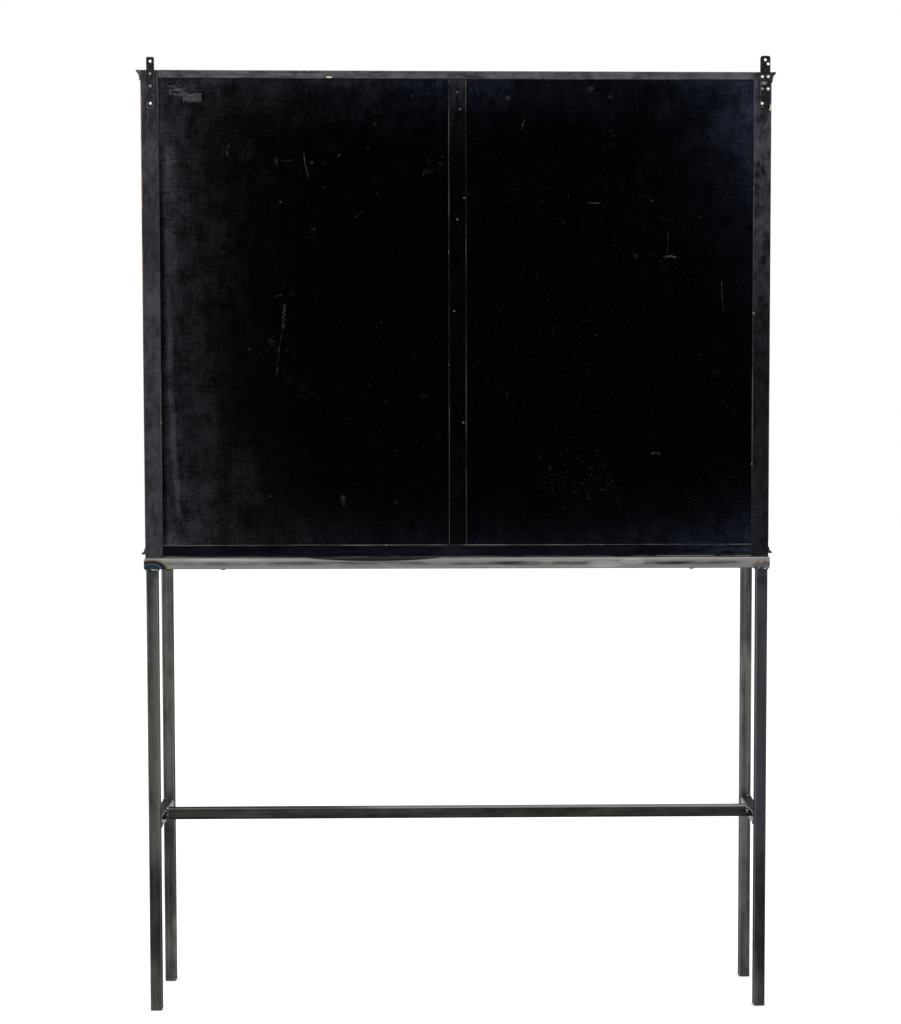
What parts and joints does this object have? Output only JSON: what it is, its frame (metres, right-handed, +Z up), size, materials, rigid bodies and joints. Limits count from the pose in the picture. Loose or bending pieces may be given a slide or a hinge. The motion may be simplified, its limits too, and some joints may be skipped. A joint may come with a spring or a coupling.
{
  "type": "display cabinet",
  "caption": "Shallow painted wooden display cabinet with glazed hinged doors, a framed back and hanging irons, on a welded square-tube steel stand.",
  "frame": {"origin": "on the floor, under the middle of the object's box", "axes": "+Z up, the doors face -Y and the framed back faces +Y; left is -X, as seen from the front"},
  "size_m": [1.1026, 0.2208, 1.6677],
  "materials": {
    "black_paint": "worn black satin paint over wood",
    "raw_steel": "bare mill-scaled steel tube, heat-tinted at the welds",
    "dark_iron": "old black-painted flat iron",
    "aged_brass": "aged brass",
    "window_glass": "clear window glass"
  },
  "bodies": {
    "cabinet": {"stand_leg_front_left": "raw_steel", "stand_leg_front_right": "raw_steel", "stand_leg_rear_left": "raw_steel", "stand_leg_rear_right": "raw_steel", "stand_rail_front": "raw_steel", "stand_rail_rear": "raw_steel", "stand_rail_left": "raw_steel", "stand_rail_right": "raw_steel", "side_stretcher_left": "raw_steel", "side_stretcher_right": "raw_steel", "long_stretcher": "raw_steel", "side_board_left": "black_paint", "side_board_right": "black_paint", "top_board": "black_paint", "bottom_board": "black_paint", "shelf_lower": "black_paint", "shelf_upper": "black_paint", "face_stile_left": "black_paint", "face_stile_right": "black_paint", "centre_post": "black_paint", "cornice_front": "black_paint", "cornice_left": "black_paint", "cornice_right": "black_paint", "base_moulding_front": "black_paint", "base_moulding_left": "black_paint", "base_moulding_right": "black_paint", "back_stile_left": "black_paint", "back_stile_right": "black_paint", "back_top_rail": "black_paint", "back_bottom_rail": "black_paint", "back_muntin": "black_paint", "back_panel_left": "black_paint", "back_panel_right": "black_paint", "hanging_strap": "dark_iron", "hanging_plate": "dark_iron", "left_lower_hinge_frame_leaf": "aged_brass", "left_upper_hinge_frame_leaf": "aged_brass", "right_lower_hinge_frame_leaf": "aged_brass", "right_upper_hinge_frame_leaf": "aged_brass"},
    "left_door": {"left_door_hinge_stile": "black_paint", "left_door_meeting_stile": "black_paint", "left_door_top_rail": "black_paint", "left_door_bottom_rail": "black_paint", "left_door_glass": "window_glass", "left_lower_hinge_door_leaf": "aged_brass", "left_upper_hinge_door_leaf": "aged_brass"},
    "left_latch": {"left_knob": "aged_brass", "left_latch_finger": "aged_brass"},
    "right_door": {"right_door_hinge_stile": "black_paint", "right_door_meeting_stile": "black_paint", "right_door_top_rail": "black_paint", "right_door_bottom_rail": "black_paint", "right_door_glass": "window_glass", "right_lower_hinge_door_leaf": "aged_brass", "right_upper_hinge_door_leaf": "aged_brass"},
    "right_latch": {"right_knob": "aged_brass", "right_latch_finger": "aged_brass"}
  },
  "joints": [
    {"name": "left_door_hinge", "type": "hinge", "parent": "cabinet", "child": "left_door", "pos_m": [-0.51325, -0.0887, 1.22], "axis": [0, 0, -1], "range_deg": [0, 170]},
    {"name": "left_latch_turn", "type": "hinge", "parent": "left_door", "child": "left_latch", "pos_m": [-0.037, -0.0844, 1.2203], "axis": [0, -1, 0], "range_deg": [0, 90]},
    {"name": "right_door_hinge", "type": "hinge", "parent": "cabinet", "child": "right_door", "pos_m": [0.51325, -0.0887, 1.22], "axis": [0, 0, 1], "range_deg": [0, 170]},
    {"name": "right_latch_turn", "type": "hinge", "parent": "right_door", "child": "right_latch", "pos_m": [0.037, -0.0844, 1.2203], "axis": [0, 1, 0], "range_deg": [0, 90]}
  ]
}
